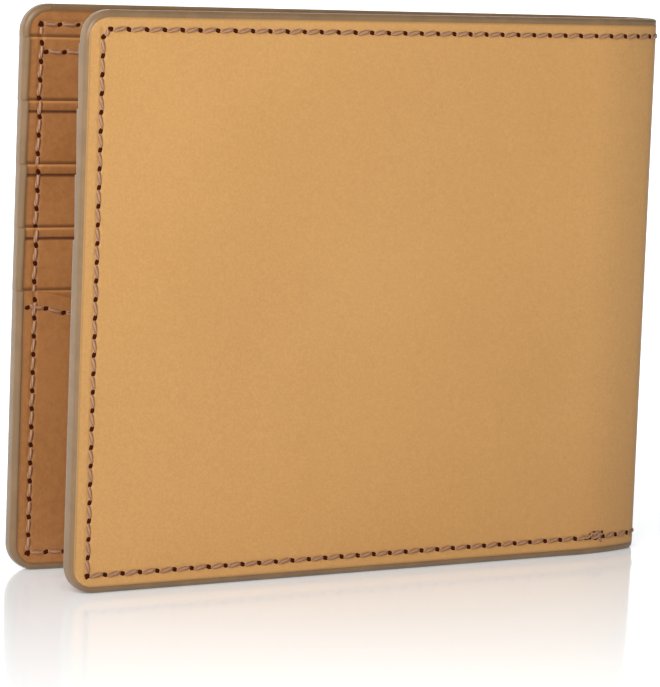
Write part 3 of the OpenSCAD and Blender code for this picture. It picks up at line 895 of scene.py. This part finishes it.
# ---------------------------------------------------------------- stage
class WALLET_OT_stage(bpy.types.Operator):
    """White glossy table, soft lights and the camera"""

    bl_idname = "wallet.stage"
    bl_label = "Stage"

    def execute(self, context):
        scene = context.scene
        scene.view_settings.view_transform = "Standard"
        settings = scene.wallet_stage
        world = bpy.data.worlds.new("White room")
        scene.world = world
        world.use_nodes = True
        tree = world.node_tree
        tree.nodes.clear()
        # a white screen behind the wallet, brighter than the room
        way = add(tree, "ShaderNodeSeparateXYZ", {0: add(tree, "ShaderNodeTexCoord").outputs["Generated"]})
        back = add(tree, "ShaderNodeMapRange", {"Value": way.outputs[1], "From Min": 0.3, "From Max": 0.7},
                   **SMOOTH).outputs[0]
        low = add(tree, "ShaderNodeMapRange",
                  {"Value": way.outputs[2], "From Min": 0.35, "From Max": 0.6, "To Min": 1.0, "To Max": 0.0},
                  **SMOOTH).outputs[0]
        screen = add(tree, "ShaderNodeMath", {0: back, 1: low}, operation="MULTIPLY").outputs[0]
        # the room is darker on the side of the fold
        walls = add(tree, "ShaderNodeMapRange",
                    {"Value": way.outputs[0], "From Min": -1.0, "To Min": settings.surround * 1.35,
                     "To Max": settings.surround * 0.35}).outputs[0]
        power = add(tree, "ShaderNodeMapRange",
                    {"Value": screen, "To Min": walls, "To Max": settings.screen}).outputs[0]
        room = add(tree, "ShaderNodeBackground", {"Color": (1, 1, 1, 1), "Strength": power})
        add(tree, "ShaderNodeOutputWorld", {"Surface": room.outputs[0]})
        material, tree, shader = start_finish("White acrylic table")
        where = add(tree, "ShaderNodeTexCoord").outputs["Object"]
        haze = add(tree, "ShaderNodeTexNoise", {"Vector": where, "Scale": 20.0, "Detail": 2.0}).outputs["Fac"]
        tree.links.new(add(tree, "ShaderNodeMapRange", {"Value": haze, "To Min": 0.08,
                                                        "To Max": 0.14}).outputs[0], shader.inputs["Roughness"])
        shader.inputs["Base Color"].default_value = (0.9, 0.9, 0.9, 1)
        # painted light: the table glows faintly blue, more strongly away from the wallet, so that the wallet's
        # reflection fades out to white
        away = add(tree, "ShaderNodeMath", {0: add(tree, "ShaderNodeSeparateXYZ", {0: where}).outputs[1]},
                   operation="ABSOLUTE").outputs[0]
        painted_glow = add(tree, "ShaderNodeMapRange",
                   {"Value": away, "From Min": 12 * MM, "From Max": 105 * MM, "To Min": 0.18,
                    "To Max": 0.48}).outputs[0]
        tree.links.new(painted_glow, shader.inputs["Emission Strength"])
        shader.inputs["Emission Color"].default_value = (0.84, 0.95, 1.0, 1)
        shader.inputs["IOR"].default_value = 1.45
        shader.inputs["Specular Tint"].default_value = (0.68, 0.89, 1.0, 1)
        bm = bmesh.new()
        bmesh.ops.create_grid(bm, x_segments=2, y_segments=2, size=TABLE_HALF)
        mesh = bpy.data.meshes.new("table")
        bm.to_mesh(mesh)
        bm.free()
        mesh.materials.append(material)
        table = bpy.data.objects.new("table", mesh)
        scene.collection.objects.link(table)
        middle = Vector((0.0, 0.0, HEIGHT / 2))
        lamp = bpy.data.lights.new("key", "AREA")
        lamp.shape, lamp.size, lamp.energy = "SQUARE", LAMP_SIZE, settings.key
        holder = bpy.data.objects.new("key", lamp)
        holder.location = LAMP_AT
        holder.rotation_euler = (middle - holder.location).to_track_quat("-Z", "Y").to_euler()
        scene.collection.objects.link(holder)
        self.camera(scene, settings.lens)
        return {"FINISHED"}

    def camera(self, scene, lens):
        """A long lens at the front left, a little above the wallet, with a slight roll"""
        data = bpy.data.cameras.new("camera")
        data.sensor_width, data.lens, data.clip_end = 36.0, lens, 50.0
        holder = bpy.data.objects.new("camera", data)
        yaw, pitch, roll = [math.radians(angle) for angle in CAMERA_TURN]
        right = Vector((math.cos(yaw), -math.sin(yaw), 0))
        level = Vector((math.sin(yaw), math.cos(yaw), 0))
        ahead = level * math.cos(pitch) - Vector((0, 0, 1)) * math.sin(pitch)
        up = Vector((0, 0, 1)) * math.cos(pitch) + level * math.sin(pitch)
        side, top = right * math.cos(roll) - up * math.sin(roll), up * math.cos(roll) + right * math.sin(roll)
        axes = Matrix((side, top, -ahead)).transposed().to_4x4()
        holder.matrix_world = Matrix.Translation(CAMERA_AT) @ axes
        scene.collection.objects.link(holder)
        scene.camera = holder


GROUPS = {"wallet_sizes": WalletSizes, "wallet_colours": WalletColours, "wallet_stage": WalletStage}
OPERATORS = (WALLET_OT_covers, WALLET_OT_compartment, WALLET_OT_edges, WALLET_OT_pockets, WALLET_OT_seams,
             WALLET_OT_stage)


class WALLET_PT_panel(bpy.types.Panel):
    """The wallet's settings and pieces"""

    bl_label = "Bifold wallet"
    bl_idname = "WALLET_PT_panel"
    bl_space_type = "VIEW_3D"
    bl_region_type = "UI"
    bl_category = "Wallet"

    def draw(self, context):
        for name, kind in GROUPS.items():
            for key in kind.__annotations__:
                self.layout.prop(getattr(context.scene, name), key)
        for operator in OPERATORS:
            self.layout.operator(operator.bl_idname)


def register():
    for kind in (*GROUPS.values(), *OPERATORS, WALLET_PT_panel):
        bpy.utils.register_class(kind)
    for name, kind in GROUPS.items():
        setattr(bpy.types.Scene, name, PointerProperty(type=kind))


def unregister():
    for name in GROUPS:
        delattr(bpy.types.Scene, name)
    for kind in (WALLET_PT_panel, *OPERATORS, *GROUPS.values()):
        bpy.utils.unregister_class(kind)


def main():
    register()
    for operator in OPERATORS:
        group, name = operator.bl_idname.split(".")
        getattr(getattr(bpy.ops, group), name)()


if __name__ == "__main__":
    main()
